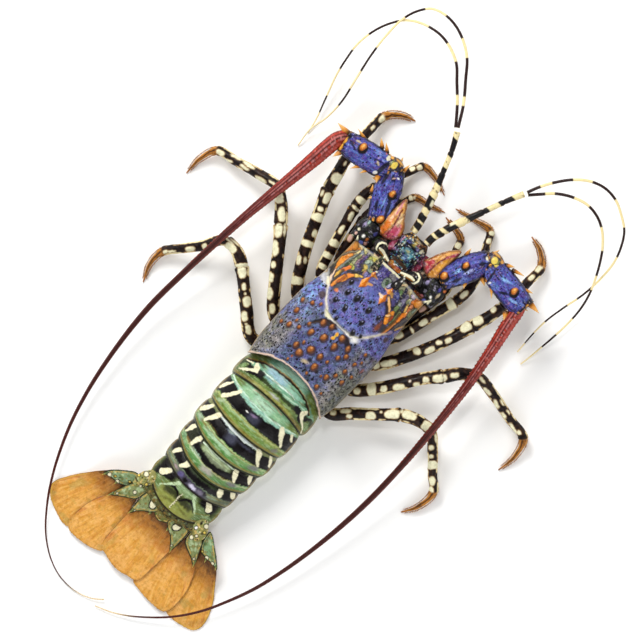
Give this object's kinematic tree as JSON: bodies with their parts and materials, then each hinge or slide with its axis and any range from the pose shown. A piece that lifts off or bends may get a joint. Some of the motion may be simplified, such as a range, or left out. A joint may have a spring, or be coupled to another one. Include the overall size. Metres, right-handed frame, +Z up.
{
  "type": "raw spiny lobster",
  "caption": "Raw ornate spiny lobster lying on its belly, blue head shell, banded green tail with a tan fan, striped legs, thorny antennae swept back past the tail.",
  "frame": {"origin": "under the middle of the whole animal, on the surface that it lies on", "axes": "+Y from the tail fan to the head, +X to the animal's right, +Z up"},
  "size_m": [0.3294, 0.5064, 0.0627],
  "materials": {
    "shell_blue": "wet horny shell, violet-blue with dark specks and orange tubercles",
    "ring_green": "wet horny shell, green and blue-green bands with black bars and cream streaks",
    "fan_tan": "leathery tan membrane with fine ribs, green at the base",
    "leg_banded": "wet horny shell, black-brown with cream patches, brown points",
    "whip_red": "ringed horny whip, dark red to brown with a pale tip",
    "antennule_banded": "black-brown and cream bands",
    "segment_blue": "violet-blue shell mottled with black, orange thorns",
    "base_dark": "dark mottled shell with pale patches",
    "eye_black": "glossy black ball on a banded stalk",
    "pad_pink": "fleshy pad, magenta and orange with tan edges",
    "plate_blue": "blue, turquoise and black mosaic",
    "belly_cream": "smooth pale belly shell with brown speckles"
  },
  "bodies": {
    "root": {"carapace": "shell_blue", "antennular_plate": "plate_blue", "mouth_plate": "belly_cream", "breastplate": "belly_cream", "eye_left": "eye_black", "feeding_limb_left": "belly_cream", "antennal_pad_left": "pad_pink", "antenna_base_left": "base_dark", "antenna_segment_a_left": "segment_blue", "antenna_segment_b_left": "segment_blue", "antenna_whip_left": "whip_red", "antennule_stem_left": "antennule_banded", "antennule_upper_left": "antennule_banded", "antennule_lower_left": "antennule_banded", "leg_1_left": "leg_banded", "leg_2_left": "leg_banded", "leg_3_left": "leg_banded", "leg_4_left": "leg_banded", "leg_5_left": "leg_banded", "tail_knuckle_left": "ring_green", "tail_blade_outer_left": "fan_tan", "tail_blade_inner_left": "fan_tan", "eye_right": "eye_black", "feeding_limb_right": "belly_cream", "antennal_pad_right": "pad_pink", "antenna_base_right": "base_dark", "antenna_segment_a_right": "segment_blue", "antenna_segment_b_right": "segment_blue", "antenna_whip_right": "whip_red", "antennule_stem_right": "antennule_banded", "antennule_upper_right": "antennule_banded", "antennule_lower_right": "antennule_banded", "leg_1_right": "leg_banded", "leg_2_right": "leg_banded", "leg_3_right": "leg_banded", "leg_4_right": "leg_banded", "leg_5_right": "leg_banded", "tail_knuckle_right": "ring_green", "tail_blade_outer_right": "fan_tan", "tail_blade_inner_right": "fan_tan", "tail_ring_1": "ring_green", "tail_ring_2": "ring_green", "tail_ring_3": "ring_green", "tail_ring_4": "ring_green", "tail_ring_5": "ring_green", "tail_ring_6": "ring_green", "telson": "fan_tan"}
  },
  "joints": []
}
